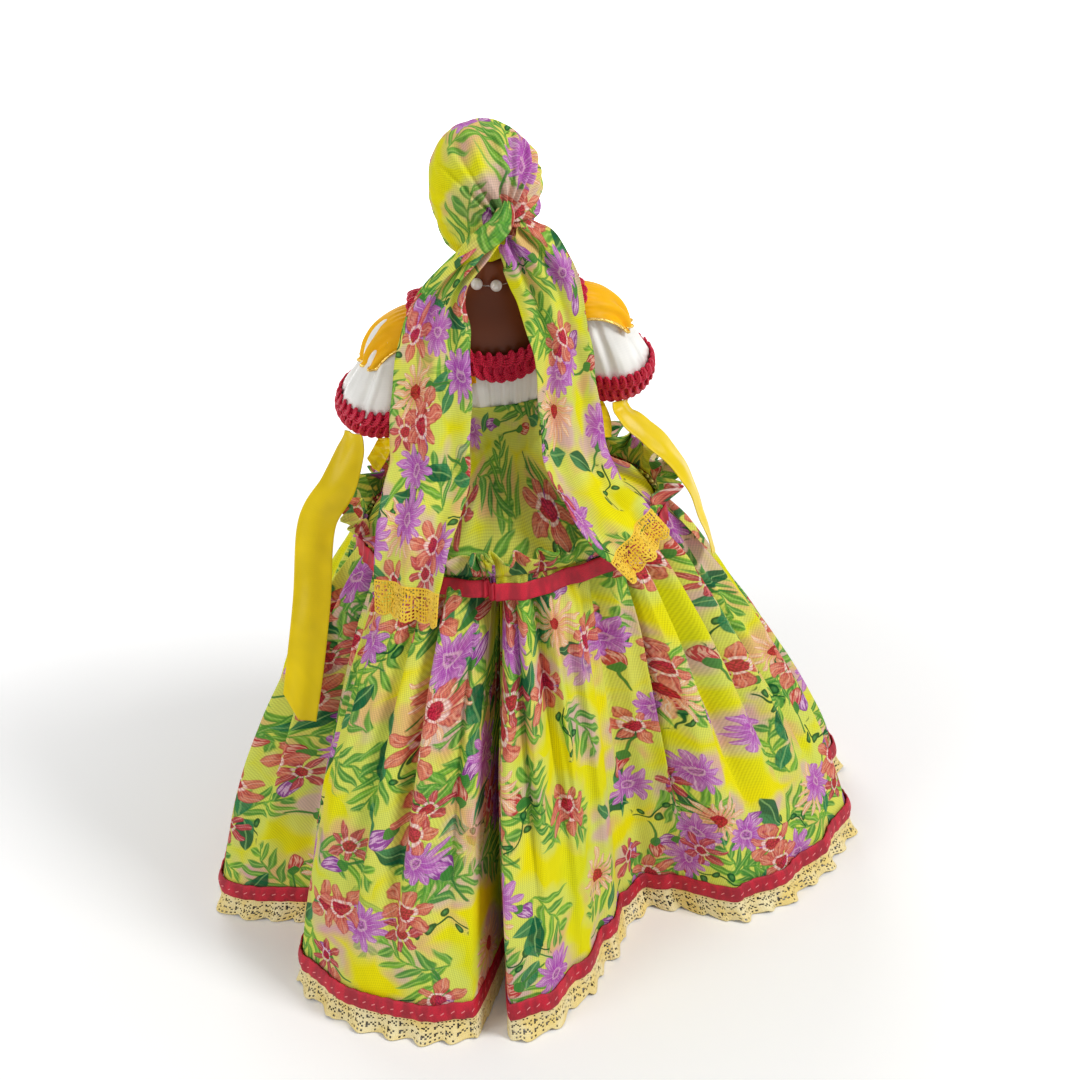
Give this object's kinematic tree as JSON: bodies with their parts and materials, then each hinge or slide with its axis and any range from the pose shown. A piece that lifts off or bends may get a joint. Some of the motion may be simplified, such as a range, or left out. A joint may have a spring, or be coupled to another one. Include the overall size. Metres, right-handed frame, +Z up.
{
  "type": "folk costume doll",
  "caption": "Standing moulded folk doll in a yellow floral print dress with a headscarf, puffed sleeves, scroll braid, cuff ribbons and a lace hem.",
  "frame": {"origin": "On the floor under the middle of the dress, between the shoes.", "axes": "+Z up along the doll. The doll faces -Y and its own left side is +X."},
  "size_m": [0.295, 0.2524, 0.3399],
  "materials": {
    "brown_vinyl": "satin moulded vinyl",
    "print_cotton": "plain weave cotton with a floral print",
    "white_satin": "glossy satin weave",
    "orange_satin": "glossy satin weave with a gilt edge",
    "red_gimp": "scroll braid of looped cord",
    "red_velvet": "satin faced velvet ribbon",
    "yellow_ribbon": "glossy satin ribbon",
    "yellow_lace": "scalloped openwork lace",
    "pearl": "pearl lacquered beads on a clear thread",
    "shoe_plastic": "smooth moulded"
  },
  "bodies": {
    "torso": {"torso": "brown_vinyl", "necklace": "pearl", "blouse": "white_satin", "neckline_braid": "red_gimp", "left_collar": "orange_satin", "right_collar": "orange_satin", "bodice": "print_cotton", "skirt": "print_cotton", "skirt_frill": "print_cotton", "skirt_band": "red_velvet", "hem_ribbon": "red_velvet", "hem_lace": "yellow_lace", "scarf_tail_left": "print_cotton", "scarf_tail_right": "print_cotton", "scarf_lace_left": "yellow_lace", "scarf_lace_right": "yellow_lace"},
    "head": {"head": "brown_vinyl", "head_wrap": "print_cotton", "scarf_knot": "print_cotton"},
    "left_arm": {"left_arm": "brown_vinyl", "left_sleeve": "white_satin", "left_cuff_braid": "red_gimp", "left_flounce": "orange_satin", "left_ribbon": "yellow_ribbon", "left_ribbon_tie": "yellow_ribbon"},
    "right_arm": {"right_arm": "brown_vinyl", "right_sleeve": "white_satin", "right_cuff_braid": "red_gimp", "right_flounce": "orange_satin", "right_ribbon": "yellow_ribbon", "right_ribbon_tie": "yellow_ribbon"},
    "left_leg": {"left_leg": "brown_vinyl", "left_shoe": "shoe_plastic"},
    "right_leg": {"right_leg": "brown_vinyl", "right_shoe": "shoe_plastic"}
  },
  "joints": [
    {"name": "head_turn", "type": "hinge", "parent": "torso", "child": "head", "pos_m": [0, 0.001, 0.2881], "axis": [0, 0, 1], "range_deg": [-35, 35]},
    {"name": "left_shoulder", "type": "hinge", "parent": "torso", "child": "left_arm", "pos_m": [0.0299, -0.001, 0.26], "axis": [-1, 0, 0], "range_deg": [-8, 95], "deforming": ["left_ribbon", "left_ribbon_tie"]},
    {"name": "right_shoulder", "type": "hinge", "parent": "torso", "child": "right_arm", "pos_m": [-0.0299, -0.001, 0.26], "axis": [-1, 0, 0], "range_deg": [-8, 95], "deforming": ["right_ribbon", "right_ribbon_tie"]},
    {"name": "left_hip", "type": "hinge", "parent": "torso", "child": "left_leg", "pos_m": [0.0061, 0, 0.1585], "axis": [-1, 0, 0], "range_deg": [-20, 30]},
    {"name": "right_hip", "type": "hinge", "parent": "torso", "child": "right_leg", "pos_m": [-0.0061, 0, 0.1585], "axis": [-1, 0, 0], "range_deg": [-20, 30]}
  ]
}
